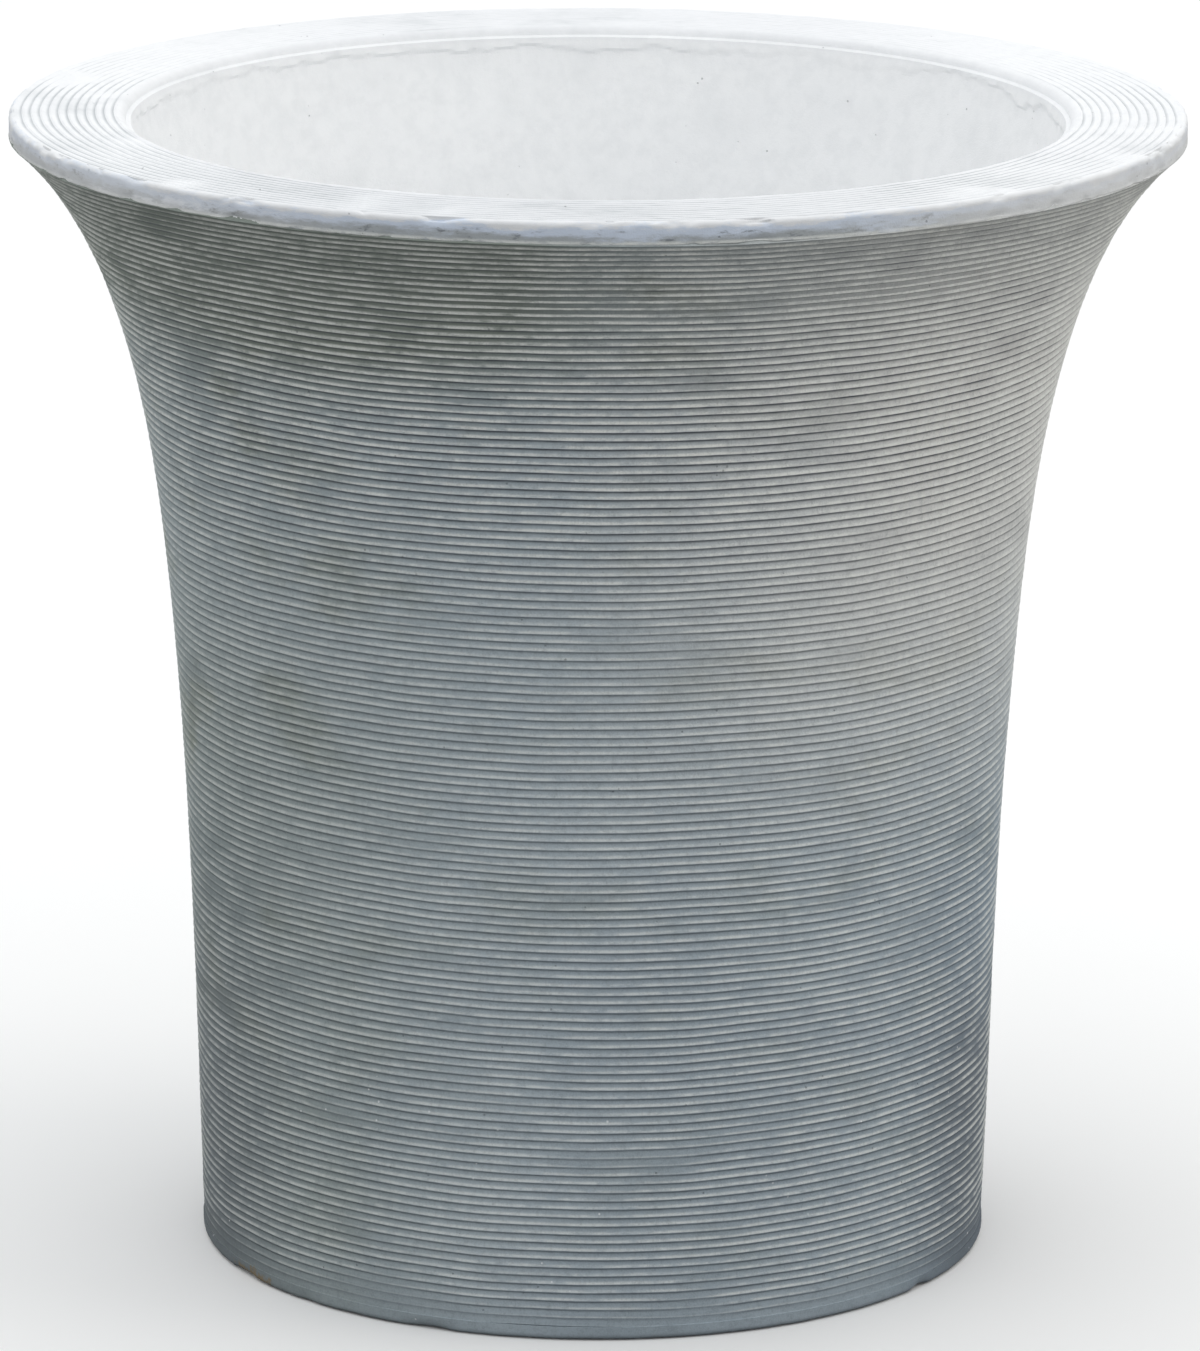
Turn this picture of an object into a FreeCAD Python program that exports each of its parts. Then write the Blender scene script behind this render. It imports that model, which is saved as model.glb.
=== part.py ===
import FreeCAD, Part

import math
import os

from FreeCAD import Vector

# A round, flared concrete planter, in millimetres. The foot stands on z = 0 and the
# pot's axis is Z. Radii are measured from that axis.

# Outside of the casting
height = 760.0
rim_radius = 385.0
lip_depth = 16.0          # height of the plain edge round the rim
lip_round = 4.0
flare_angle = 49.0        # degrees from upright where the wall meets the lip
flare_handle = 148.0      # how far the flare reaches down from the lip
foot_radius = 261.5
foot_lean = 1.8           # degrees from upright where the wall leaves the foot
foot_handle = 380.0       # how far the straight lower wall reaches up
foot_band = 9.0           # plain band under the lowest flute
foot_round = 4.0

# Rings of fluting on the wall and on top of the rim
flute_pitch = 5.75
flute_depth = 1.0

# Inside of the casting
rim_width = 78.0          # from the lip's edge in to the mouth
mouth_round = 8.0
mouth_lean = 14.0         # degrees from upright just under the mouth
mouth_handle = 200.0
wall = 36.0               # thickness at the foot of the inside wall
bowl_handle = 260.0
floor_height = 72.0       # top of the floor, where it meets the wall's cove
floor_fall = 6.0          # how far the floor falls to the drain
cove = 22.0

# Underside
recess_depth = 8.0
foot_ring = 55.0          # width of the ring that the pot stands on
weep_count = 2
weep_radius = 6.5         # half-round channels that let water out from under the pot

# Drain sleeve and plug
outlet_radius = 20.0
seat_radius = 22.0
seat_depth = 30.0
sleeve_wall = 3.5
collar_width = 12.0
collar_thickness = 4.0
puddle_width = 12.0       # flange half way down the sleeve, bedded in the concrete
puddle_thickness = 4.0
drip_length = 4.0
plug_clearance = 0.3
plug_taper = 1.2
plug_stem = 26.0
plug_lap = 10.0           # how far the plug's head laps over the seat
plug_head = 5.0
plug_waist_radius = 8.0
plug_waist = 7.0
plug_knob_radius = 14.0
plug_knob = 10.0
plug_knob_round = 3.0

# Steel cage inside the wall and floor
bar = 6.0
tie_gap = 0.5
upright_count = 9
upright_runs = 6          # straight lengths between the bends that follow the wall
wall_bend = 250.0
floor_bend = 40.0
floor_cover = 18.0        # concrete under the lowest bars
rim_cover = 32.0          # concrete over the bars' top ends
tail_clearance = 25.0     # from the bars' inner ends to the sleeve's flange
rim_hoop_drop = 12.0
floor_hoop_inset = 40.0

# Threaded lifting sockets in the floor
socket_count = 3
socket_inset = 53.5       # from the flat of the floor in to the sockets' circle
socket_radius = 13.0
socket_length = 44.0
socket_bore = 6.9
socket_thread = 30.0
pocket_margin = 9.0
pocket_depth = 6.0
pin_radius = 5.0
pin_gap = 14.6            # from each end of a pin to the upright beside it
pin_height = 8.0          # from the socket's foot to the pin's axis
pin_clearance = 0.1

AXIS = Vector(0, 0, 1)
CENTRE = Vector(0, 0, 0)


def at(radius, z):
    return Vector(radius, 0, z)


def heading(angle, length):
    """A step of this length, leaning outwards by an angle from upright."""
    lean = math.radians(angle)
    return at(length * math.sin(lean), length * math.cos(lean))


def on_round(centre, radius, angle):
    turn = math.radians(angle)
    return centre + at(radius * math.cos(turn), radius * math.sin(turn))


def round_edge(centre, radius, first, last):
    ends = [on_round(centre, radius, angle) for angle in (first, (first + last) / 2, last)]
    return Part.Arc(*ends).toShape()


def straight(points):
    return [Part.makeLine(a, b) for a, b in zip(points, points[1:])]


def bezier(poles):
    curve = Part.BezierCurve()
    curve.setPoles(poles)
    return curve


def turned(edges):
    """The solid that a closed outline makes when it is turned once round the axis."""
    outline = Part.Wire(Part.__sortEdges__(edges))
    return Part.Face(outline).revolve(CENTRE, AXIS, 360)


def level(curve, z):
    """The place along a rising curve where it reaches a height."""
    low, high = 0.0, 1.0
    for _ in range(60):
        middle = (low + high) / 2
        if curve.value(middle).z < z:
            low = middle
        else:
            high = middle
    return (low + high) / 2


def flute_bottom(curve, place):
    """A point let in square to the curve."""
    along = curve.tangent(place)[0]
    return curve.value(place) - at(along.z, -along.x) * flute_depth


def flutes(curve, first, last):
    """Hollow flutes side by side, with the sharp ridges between them on the curve."""
    length = curve.length(first, last)
    count = max(1, round(length / flute_pitch))
    half = length / (2 * count)
    places = [curve.parameterAtDistance(step * half, first) for step in range(2 * count)]
    places.append(last)
    return [
        Part.Arc(curve.value(ridge), flute_bottom(curve, middle), curve.value(next_ridge)).toShape()
        for ridge, middle, next_ridge in zip(places[0::2], places[1::2], places[2::2])
    ]


def around(shape, count, first_angle):
    """Copies of a shape, evenly spaced round the axis."""
    copies = []
    for index in range(count):
        copy = shape.copy()
        copy.rotate(CENTRE, AXIS, first_angle + index * 360.0 / count)
        copies.append(copy)
    return copies


# The two wall curves, from the foot up
lip_foot = at(rim_radius, height - lip_depth)
outside = bezier([
    at(foot_radius, 0),
    at(foot_radius, 0) + heading(foot_lean, foot_handle),
    lip_foot - heading(flare_angle, flare_handle),
    lip_foot,
])
mouth_radius = rim_radius - rim_width
mouth_centre = at(mouth_radius + mouth_round, height - mouth_round)
mouth_turn = 180 - mouth_lean
mouth_edge = on_round(mouth_centre, mouth_round, mouth_turn)
bowl_radius = foot_radius - wall
bowl_foot = at(bowl_radius, floor_height + cove)
inside = bezier([
    bowl_foot,
    bowl_foot + heading(0, bowl_handle),
    mouth_edge - heading(mouth_lean, mouth_handle),
    mouth_edge,
])


def mid_wall(z):
    """Radius half way through the wall at a height."""
    outer = outside.value(level(outside, z)).x
    inner = inside.value(level(inside, z)).x
    return (outer + inner) / 2


# Drain sleeve: the outside of it shapes the hole in the floor
drain_top = floor_height - floor_fall
sleeve_radius = seat_radius + sleeve_wall
collar_radius = sleeve_radius + collar_width
puddle_radius = sleeve_radius + puddle_width
puddle_middle = (drain_top + recess_depth) / 2
puddle_top = puddle_middle + puddle_thickness / 2
puddle_foot = puddle_middle - puddle_thickness / 2
sleeve_outside = [
    at(collar_radius, drain_top),
    at(collar_radius, drain_top - collar_thickness),
    at(sleeve_radius, drain_top - collar_thickness),
    at(sleeve_radius, puddle_top),
    at(puddle_radius, puddle_top),
    at(puddle_radius, puddle_foot),
    at(sleeve_radius, puddle_foot),
]
sleeve_foot = recess_depth - drip_length
sleeve_inside = [
    at(sleeve_radius, sleeve_foot),
    at(outlet_radius, sleeve_foot),
    at(outlet_radius, drain_top - seat_depth),
    at(seat_radius, drain_top - seat_depth),
    at(seat_radius, drain_top),
]
sleeve_outline = sleeve_outside + sleeve_inside + sleeve_outside[:1]
drain_sleeve = turned(straight(sleeve_outline))

# Plug: a tapered stem, a head that laps over the seat, and a knob to pull
stem_radius = seat_radius - plug_clearance
stem_foot = drain_top - plug_stem
head_top = drain_top + plug_head
waist_top = head_top + plug_waist
knob_top = waist_top + plug_knob
knob_corner = at(plug_knob_radius - plug_knob_round, knob_top - plug_knob_round)
plug_outline = straight([
    at(0, knob_top),
    at(0, stem_foot),
    at(stem_radius - plug_taper, stem_foot),
    at(stem_radius, drain_top),
    at(seat_radius + plug_lap, drain_top),
    at(seat_radius + plug_lap, head_top),
    at(plug_waist_radius, head_top),
    at(plug_waist_radius, waist_top),
    at(plug_knob_radius, waist_top),
    on_round(knob_corner, plug_knob_round, 0),
])
plug_outline.append(round_edge(knob_corner, plug_knob_round, 0, 90))
plug_outline.append(Part.makeLine(on_round(knob_corner, plug_knob_round, 90), at(0, knob_top)))
drain_plug = turned(plug_outline)

# Lifting sockets, let into shallow pockets in the sloping floor. Each has a cross pin and
# stands half way between two uprights
floor_flat = bowl_radius - cove
socket_circle = floor_flat - socket_inset
pin_length = 2 * (socket_circle * math.tan(math.pi / upright_count) - pin_gap)
floor_slope = floor_fall / (floor_flat - collar_radius)
pocket_floor = drain_top + (socket_circle - collar_radius) * floor_slope - pocket_depth
socket_foot = pocket_floor - socket_length
pin_level = socket_foot + pin_height


def socket_cylinder(radius, z, length):
    return Part.makeCylinder(radius, length, at(socket_circle, z), AXIS)


def pin_cylinder(radius, length):
    start = Vector(socket_circle, -length / 2, pin_level)
    return Part.makeCylinder(radius, length, start, Vector(0, 1, 0))


thread = socket_cylinder(socket_bore, pocket_floor - socket_thread, socket_thread)
cross_hole = pin_cylinder(pin_radius + pin_clearance, 4 * socket_radius)
socket = socket_cylinder(socket_radius, socket_foot, socket_length).cut(thread).cut(cross_hole)
pin = pin_cylinder(pin_radius, pin_length)
pocket = socket_cylinder(socket_radius + pocket_margin, pocket_floor, floor_height)
sockets = around(socket, socket_count, 0)
pins = around(pin, socket_count, 0)

# Cage: uprights that run in under the floor, and hoops tied outside them
tail_level = recess_depth + floor_cover + bar / 2
tail_end = max(collar_radius, puddle_radius) + tail_clearance
bar_top = height - rim_cover
run_height = (bar_top - tail_level) / upright_runs
bend_levels = [tail_level + run * run_height for run in range(upright_runs + 1)]
wall_bends = [at(mid_wall(z) - (bar + tie_gap) / 2, z) for z in bend_levels]


def bar_path(corners, bends):
    """Straight runs joined by round bends, in the plane of the axis."""
    edges = []
    start = corners[0]
    for before, corner, after, bend in zip(corners, corners[1:], corners[2:], bends):
        back = (before - corner).normalize()
        ahead = (after - corner).normalize()
        half_turn = back.getAngle(ahead) / 2
        inner = corner + (back + ahead).normalize() * (bend / math.sin(half_turn))
        reach = bend / math.tan(half_turn)
        middle = inner + (corner - inner).normalize() * bend
        edges.append(Part.makeLine(start, corner + back * reach))
        edges.append(Part.Arc(corner + back * reach, middle, corner + ahead * reach).toShape())
        start = corner + ahead * reach
    edges.append(Part.makeLine(start, corners[-1]))
    return Part.Wire(edges)


def round_bar(path, start, direction):
    section = Part.Wire(Part.makeCircle(bar / 2, start, direction))
    return path.makePipeShell([section], True, False)


def hoop_at(z):
    """A hoop tied to the outside of the uprights at a height."""
    run = min(int((z - tail_level) / run_height), upright_runs - 1)
    below, above = wall_bends[run], wall_bends[run + 1]
    lean = math.atan2(above.x - below.x, above.z - below.z)
    upright = below.x + (z - below.z) * math.tan(lean)
    return Part.makeTorus(upright + (bar + tie_gap) / math.cos(lean), bar / 2, at(0, z), AXIS)


corners = [at(tail_end, tail_level)] + wall_bends
bends = [floor_bend] + [wall_bend] * (upright_runs - 1)
upright = round_bar(bar_path(corners, bends), corners[0], Vector(1, 0, 0))
uprights = around(upright, upright_count, 180.0 / upright_count)
wall_hoops = [hoop_at(z + run_height / 2) for z in bend_levels[:-1]]
rim_hoop = hoop_at(bar_top - rim_hoop_drop)
floor_hoop_level = tail_level + bar + tie_gap
floor_hoop_radius = wall_bends[0].x - floor_hoop_inset
floor_hoop = Part.makeTorus(floor_hoop_radius, bar / 2, at(0, floor_hoop_level), AXIS)

# Outline of the casting: foot, wall, lip, rim, inside wall, floor, drain hole, recess
ring_radius = foot_radius - foot_ring
foot_edge = level(outside, foot_round)
band_edge = level(outside, foot_band)
foot_corner = outside.value(foot_edge) - at(foot_round, 0)
lip_corner = at(rim_radius - lip_round, height - lip_round)
rim_line = Part.LineSegment(
    on_round(lip_corner, lip_round, 90),
    on_round(mouth_centre, mouth_round, 90),
)
cove_centre = at(bowl_radius - cove, floor_height + cove)

outline = straight([at(ring_radius, 0), on_round(foot_corner, foot_round, -90)])
outline.append(round_edge(foot_corner, foot_round, -90, 0))
outline.append(outside.toShape(foot_edge, band_edge))
outline += flutes(outside, band_edge, 1.0)
outline += straight([lip_foot, on_round(lip_corner, lip_round, 0)])
outline.append(round_edge(lip_corner, lip_round, 0, 90))
outline += flutes(rim_line, rim_line.FirstParameter, rim_line.LastParameter)
outline.append(round_edge(mouth_centre, mouth_round, 90, mouth_turn))
outline.append(inside.toShape())
outline.append(round_edge(cove_centre, cove, 0, -90))
outline += straight(
    [on_round(cove_centre, cove, -90)]
    + sleeve_outside
    + [at(sleeve_radius, recess_depth), at(ring_radius, recess_depth), at(ring_radius, 0)]
)
casting = turned(outline)

# Weep channels through the foot ring
channel = Part.makeCylinder(weep_radius, 2 * foot_ring, at(ring_radius - foot_ring / 2, 0), at(1, 0))
cast_in = uprights + wall_hoops + [rim_hoop, floor_hoop] + pins
cast_in += around(socket_cylinder(socket_radius, socket_foot, socket_length), socket_count, 0)
openings = around(pocket, socket_count, 0) + around(channel, weep_count, 0)
cast_shell = casting.cut(openings).cut(cast_in)

parts = {
    "cast_shell": cast_shell,
    "rim_hoop": rim_hoop,
    "floor_hoop": floor_hoop,
    "drain_sleeve": drain_sleeve,
    "drain_plug": drain_plug,
}
for name, group in (
    ("wall_hoop", wall_hoops),
    ("upright_bar", uprights),
    ("lifting_socket", sockets),
    ("socket_pin", pins),
):
    for number, shape in enumerate(group, start=1):
        parts["%s_%d" % (name, number)] = shape

os.makedirs("parts", exist_ok=True)
for name, shape in parts.items():
    shape.exportStep("parts/%s.step" % name)
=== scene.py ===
import math
from bisect import bisect_right
from collections import namedtuple

import bmesh
import bpy
from bpy.props import FloatProperty, FloatVectorProperty, IntProperty, PointerProperty
from bpy.types import Operator, Panel, PropertyGroup
from mathutils import Matrix, Vector, noise
from mathutils.geometry import interpolate_bezier


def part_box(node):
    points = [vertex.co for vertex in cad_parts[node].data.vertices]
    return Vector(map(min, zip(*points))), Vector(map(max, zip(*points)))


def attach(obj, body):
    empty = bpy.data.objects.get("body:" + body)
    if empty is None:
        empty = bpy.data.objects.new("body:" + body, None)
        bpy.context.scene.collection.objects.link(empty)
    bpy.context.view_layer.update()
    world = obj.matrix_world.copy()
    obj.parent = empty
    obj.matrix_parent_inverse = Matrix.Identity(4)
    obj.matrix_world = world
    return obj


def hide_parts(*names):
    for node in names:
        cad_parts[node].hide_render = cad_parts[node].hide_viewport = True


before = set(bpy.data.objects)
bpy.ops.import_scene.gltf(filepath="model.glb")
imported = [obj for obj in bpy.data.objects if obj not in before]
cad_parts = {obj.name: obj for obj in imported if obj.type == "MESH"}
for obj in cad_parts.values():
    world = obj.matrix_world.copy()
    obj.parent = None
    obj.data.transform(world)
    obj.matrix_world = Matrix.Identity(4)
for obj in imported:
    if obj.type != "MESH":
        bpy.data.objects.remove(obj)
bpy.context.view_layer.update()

bl_info = {
    "name": "Ribbed concrete planter",
    "version": (1, 0, 0),
    "blender": (4, 5, 0),
    "location": "View3D > Sidebar > Planter",
    "description": "Models the cast surfaces, fittings and stage of a flared, ribbed concrete planter",
    "category": "Add Mesh",
}

# Places read from the frame, in metres
SHELL_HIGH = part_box("cast_shell")[1]
SLEEVE_LOW, SLEEVE_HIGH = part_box("drain_sleeve")
PLUG_LOW, PLUG_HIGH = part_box("drain_plug")
SOCKETS = sorted(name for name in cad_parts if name.startswith("lifting_socket"))
CAGE = sorted(
    name
    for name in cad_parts
    if name.startswith(("upright_bar", "wall_hoop", "rim_hoop", "floor_hoop", "socket_pin"))
)

POT = "pot"
PLUG = "plug"
UP = Vector((0, 0, 1))
LIP_DEPTH = 0.016
TRUE_FLOOR = 0.03  # width of the even floor round the drain
SOIL_PLACE = (-0.2241, -0.1347, 0.001)  # on the foot's edge, at the front left

# Edges that turn by more than this many degrees stay sharp
WALL_SHARP, RIM_SHARP, BOWL_SHARP, FITTING_SHARP = 15.0, 25.0, 30.0, 35.0


def length(name, description, default):
    return FloatProperty(
        name=name, description=description, default=default, min=0.0, precision=4, unit="LENGTH"
    )


def turn(name, description, degrees):
    return FloatProperty(
        name=name, description=description, default=math.radians(degrees), unit="ROTATION"
    )


def share(name, description, default):
    return FloatProperty(
        name=name, description=description, default=default, min=0.0, max=1.0, subtype="FACTOR"
    )


def colour(name, description, default):
    return FloatVectorProperty(
        name=name, description=description, default=default, size=3, min=0.0, max=1.0, subtype="COLOR"
    )


class PlanterForm(PropertyGroup):
    """Sizes of the casting."""

    rim_radius: length("Rim radius", "Axis to the lip's edge", SHELL_HIGH.x)
    height: length("Height", "Floor to the top of the rim", SHELL_HIGH.z)
    lip_depth: length("Lip depth", "Height of the plain edge round the rim", LIP_DEPTH)
    lip_round: length("Lip rounding", "Radius of the lip's upper corner", 0.004)
    lip_arris: length("Lip arris", "Radius of the lip's lower corner", 0.0015)
    flare_angle: turn("Flare angle", "Lean of the wall where it meets the lip", 49.0)
    flare_handle: length("Flare reach", "How far the flare reaches down from the lip", 0.148)
    foot_radius: length("Foot radius", "Axis to the wall at the floor", 0.2615)
    foot_lean: turn("Foot lean", "Lean of the wall where it leaves the foot", 1.8)
    foot_handle: length("Foot reach", "How far the straight lower wall reaches up", 0.38)
    foot_band: length("Foot band", "Plain band under the lowest flute", 0.009)
    foot_round: length("Foot rounding", "Radius of the foot's edge", 0.004)
    flute_pitch: length("Flute pitch", "Distance from ridge to ridge along the surface", 0.00575)
    flute_depth: length("Flute depth", "Depth of the hollow flutes between the ridges", 0.001)
    rim_width: length("Rim width", "From the lip's edge in to the mouth", 0.078)
    mouth_round: length("Mouth rounding", "Radius of the rim's inner corner", 0.008)
    mouth_lean: turn("Mouth lean", "Lean of the inside wall under the mouth", 14.0)
    mouth_handle: length("Mouth reach", "How far that lean reaches down", 0.2)
    wall: length("Wall", "Thickness of the wall at the floor", 0.036)
    bowl_handle: length("Bowl reach", "How far the upright inside wall reaches up", 0.26)
    floor_height: length("Floor height", "Top of the floor where it meets the cove", 0.072)
    cove: length("Cove", "Radius between the inside wall and the floor", 0.022)
    recess_depth: length("Recess", "Depth of the hollow under the floor", 0.008)
    foot_ring: length("Foot ring", "Width of the ring that the pot stands on", 0.055)
    weep_radius: length("Weep channel", "Radius of the half-round channels in the foot", 0.0065)
    collar_width: length("Collar width", "Width of the drain sleeve's collar", 0.012)
    collar_thickness: length("Collar thickness", "Depth that the collar is let into the floor", 0.004)
    pocket_margin: length("Pocket margin", "Space round each lifting socket", 0.009)
    skin: length("Skin", "Thickness of the outer layer that is modelled as a piece of its own", 0.01)
    rim_reach: length("Rim reach", "How far the rim's piece reaches down the inside wall", 0.026)
    wall_segments: IntProperty(
        name="Wall segments", description="Faces round the ribbed wall", default=176, min=24
    )
    rim_segments: IntProperty(
        name="Rim segments", description="Faces round the rim", default=960, min=24
    )
    bowl_segments: IntProperty(
        name="Bowl segments", description="Faces round the bowl and foot", default=384, min=24
    )


class PlanterFittings(PropertyGroup):
    """Sizes of the drain and the lifting sockets."""

    outlet_radius: length("Outlet", "Radius of the drain below the seat", 0.02)
    seat_radius: length("Seat", "Radius of the seat that the plug stands in", 0.022)
    seat_depth: length("Seat depth", "Depth of that seat", 0.03)
    sleeve_wall: length("Sleeve wall", "Thickness of the sleeve at the seat", 0.0035)
    flange_width: length("Flange width", "Width of the flange half way down the sleeve", 0.012)
    flange_thickness: length("Flange thickness", "Thickness of that flange", 0.004)
    drip_length: length("Drip", "How far the sleeve hangs out under the floor", 0.004)
    stem_radius: length("Stem", "Radius of the plug's stem under its head", 0.0217)
    stem_taper: length("Stem taper", "How much narrower the stem's foot is", 0.0012)
    head_thickness: length("Plug head", "Thickness of the plug's head", 0.005)
    waist_radius: length("Plug waist", "Radius between the head and the knob", 0.008)
    waist_height: length("Waist height", "Height of that waist", 0.007)
    knob_radius: length("Plug knob", "Radius of the knob", 0.014)
    bore_radius: length("Socket bore", "Radius of the sockets' threaded bore", 0.0069)
    bore_depth: length("Bore depth", "Depth of that bore", 0.03)
    thread_pitch: length("Thread pitch", "Distance between the thread's turns", 0.002)
    thread_depth: length("Thread depth", "Depth of the thread", 0.0009)
    easing: length("Easing", "How far edges are eased off", 0.0009)
    knob_easing: length("Knob easing", "How far the knob's edges are eased off", 0.003)
    segments: IntProperty(name="Segments", description="Faces round a fitting", default=96, min=24)


class PlanterWear(PropertyGroup):
    """How far the casting departs from a true turned shape."""

    wander: length("Ridge wander", "How far a ridge strays along the surface", 0.0015)
    lumps: length("Lumps", "Height of the broad unevenness", 0.0007)
    rough: length("Roughness", "Height of the fine unevenness", 0.00022)
    fade: share("Flute fade", "How much of a flute is lost where the cast is blurred", 0.7)
    rim_margin: length("Rim margin", "Width of the plain margin of the rim along the lip", 0.007)
    foot_fade: length("Foot fade", "Height over which the flutes come in above the foot", 0.036)
    flare_depth: share("Flare depth", "How much deeper the flutes are where the wall flares", 0.35)
    chips: length("Chips", "Depth of the chips along the lip", 0.0028)
    lip_rough: length("Lip roughness", "Height of the lip's fine unevenness", 0.0005)
    foot_chips: length("Foot chips", "Depth of the chips along the foot", 0.0022)
    film: length("Cement film", "Thickness of the ragged film inside the mouth", 0.0016)
    film_drop: length("Film drop", "How far that film hangs down", 0.010)
    film_edge: length("Film edge", "Width over which that film runs out", 0.002)
    seam: length("Mould seam", "Height of the seam up the inside wall", 0.0006)
    seam_width: length("Seam width", "From the seam's crest to the wall", 0.0025)
    seam_angle: turn("Seam place", "Where the seam lies round the axis", 110.5)


class PlanterColours(PropertyGroup):
    """Colours of the finished surfaces, as linear values."""

    grey: colour("Cool grey", "Weathered cement of the wall", (0.45, 0.52, 0.565))
    # This grey is partly painted shade: it darkens the dimmer left side and a band under the lip, besides
    # real wet patches
    damp_and_shade: colour("Damp grey", "Darker, greener patches of the wall", (0.265, 0.30, 0.268))
    slate: colour("Slate grey", "Bluish patches low on the wall", (0.28, 0.345, 0.405))
    # This grey is partly painted sunlight: it lightens and warms the upper right of the wall
    bleached_and_sunlit: colour("Bleached grey", "Warmer side of the wall", (0.82, 0.815, 0.79))
    # This colour is partly painted shade: on the down-facing sides of the flutes and at the lower edges of
    # the wall, besides real soiling, pits and pinholes
    dirt_and_shade: colour("Dirt", "Dirt in the flutes and pinholes", (0.105, 0.12, 0.14))
    # This colour is partly a painted highlight: on the up-facing sides of the flutes, besides a real pale
    # bloom and the lip's pale arris
    chalk_and_highlight: colour("Chalk", "Pale bloom along the ridges", (0.92, 0.94, 0.90))
    pale: colour("Pale cement", "Rim", (0.835, 0.848, 0.872))
    # This white is partly painted light: it whitens the rim on its two sides
    white: colour("White bloom", "Inside wall and the whitest parts of the rim", (0.935, 0.945, 0.955))
    pale_stain: colour("Pale stain", "Faint stains on the pale cement", (0.62, 0.645, 0.665))
    lip_blue: colour("Lip blue", "Upper part of the lip's edge", (0.66, 0.735, 0.86))
    # This grey also paints shade, with soiling, in the rim's flute hollows
    lip_grey: colour("Lip grey", "Rough lower part of the lip's edge", (0.41, 0.44, 0.46))
    earth: colour("Earth", "Soil stain at the foot", (0.26, 0.20, 0.12))
    steel: colour("Bar steel", "Plain bars of the cage", (0.20, 0.18, 0.165))
    rust: colour("Rust", "Rust on the bars", (0.20, 0.075, 0.03))
    zinc: colour("Zinc", "Plated lifting sockets", (0.50, 0.50, 0.47))
    plastic: colour("Drain plastic", "Grey sleeve", (0.17, 0.175, 0.18))
    rubber: colour("Rubber", "Black plug", (0.018, 0.018, 0.019))
    dust: colour("Dust", "Cement dust on the fittings", (0.50, 0.50, 0.48))


class PlanterStage(PropertyGroup):
    """Camera and light."""

    camera_place: FloatVectorProperty(
        name="Camera place", description="Where the camera stands", default=(0.0031, -5.866, 1.8408),
        size=3, subtype="TRANSLATION",
    )
    camera_pitch: turn("Camera pitch", "How far the camera looks down", 14.007)
    camera_roll: turn("Camera roll", "How far the camera leans", 0.305)
    focal_pixels: FloatProperty(
        name="Focal length", description="Focal length in pixels of the picture", default=9115.3
    )
    picture_height: IntProperty(
        name="Picture height", description="Pixels up the picture", default=1351, subtype="PIXEL"
    )
    floor_size: length("Floor size", "Width of the floor", 60.0)
    floor_gap: length("Floor gap", "How far the floor lies under the pot's foot", 0.0003)
    ceiling: FloatProperty(name="Ceiling", description="Light from straight above", default=1.3)
    horizon: FloatProperty(name="Horizon", description="Light from low all round", default=0.8)
    lopsided: FloatProperty(
        name="Lopsided", description="How much more comes from the right, or less below 0", default=-0.12
    )
    backlight: FloatProperty(
        name="Backlight", description="How much more comes from behind", default=0.15
    )
    flags: share("Side flags", "How much of the low light from both sides is held off", 0.6)
    bounce: share("Floor bounce", "Share of its light that the floor throws back", 0.2)
    side_power: FloatProperty(
        name="Side power", description="Warm softbox on the right", default=30.0, unit="POWER"
    )
    side_place: FloatVectorProperty(
        name="Side place", description="Where that softbox hangs", default=(4.0, -0.6, 2.6), size=3,
        subtype="TRANSLATION",
    )
    side_size: length("Side size", "Width of that softbox", 2.5)
    side_aim: length("Side aim", "Height on the pot's axis that it faces", 0.4)
    side_tint: colour("Side tint", "Colour of its light", (1.0, 0.95, 0.87))
    dome_tint: colour("Dome tint", "Colour of the light from all round", (0.985, 0.995, 1.0))
    floor_white: share("Floor white", "Lightness of the floor where it is seen", 0.92)


# Outlines: every row is a point of a turned outline, with its outward normal and finish
Row = namedtuple("Row", "place normal region flute facing stain lip")
REGIONS = ("hidden", "wall", "lip", "rim", "mouth", "bowl", "floor", "under", "foot")
FINISHES = ("flute", "facing", "stain", "lip")
CURVE_SAMPLES = 3000
SKIN_STEPS = 6
MOUTH_STEP, BOWL_STEP = 0.0018, 0.016  # between rows on the inside wall
HOLE_SEGMENTS, CHANNEL_SEGMENTS = 96, 32  # faces round what is cut

# An eased corner takes up less than half of a side, is nearly an arc and has this many points
EASED_SHARE, EASED_PULL, EASED_POINTS = 1 / 2.2, 0.55, 5

# One flute, from the ridge below it up: share of the pitch, share of the depth, and whether
# that part faces up (1) or down (-1). Its deepest line lies close under the ridge above it
FLUTE = ((0.04, 0.06, 1.0), (0.42, 0.78, 0.35), (0.76, 1.0, -0.4), (0.96, 0.06, -1.0))


def at(radius, z):
    return Vector((radius, 0.0, z))


def heading(angle, distance):
    """A step that leans outwards by an angle from upright."""
    return at(distance * math.sin(angle), distance * math.cos(angle))


class WallCurve:
    """A wall line: a distance along it gives a place and the normal on its right-hand side."""

    def __init__(self, *poles):
        self.points = interpolate_bezier(*poles, CURVE_SAMPLES)
        self.marks = [0.0]
        for before, after in zip(self.points, self.points[1:]):
            self.marks.append(self.marks[-1] + (after - before).length)
        self.length = self.marks[-1]

    def find(self, distance):
        index = min(max(bisect_right(self.marks, distance) - 1, 0), CURVE_SAMPLES - 2)
        before, after = self.points[index], self.points[index + 1]
        share_along = (distance - self.marks[index]) / (self.marks[index + 1] - self.marks[index])
        step = (after - before).normalized()
        return before.lerp(after, share_along), at(step.z, -step.x)

    def level(self, z):
        """The distance along a rising line at which it reaches a height."""
        return next(mark for mark, point in zip(self.marks, self.points) if point.z >= z)


def plain_row(place, normal, region, stain, lip=0.0):
    return Row(place, normal, region, 0.0, 0.0, stain, lip)


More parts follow.
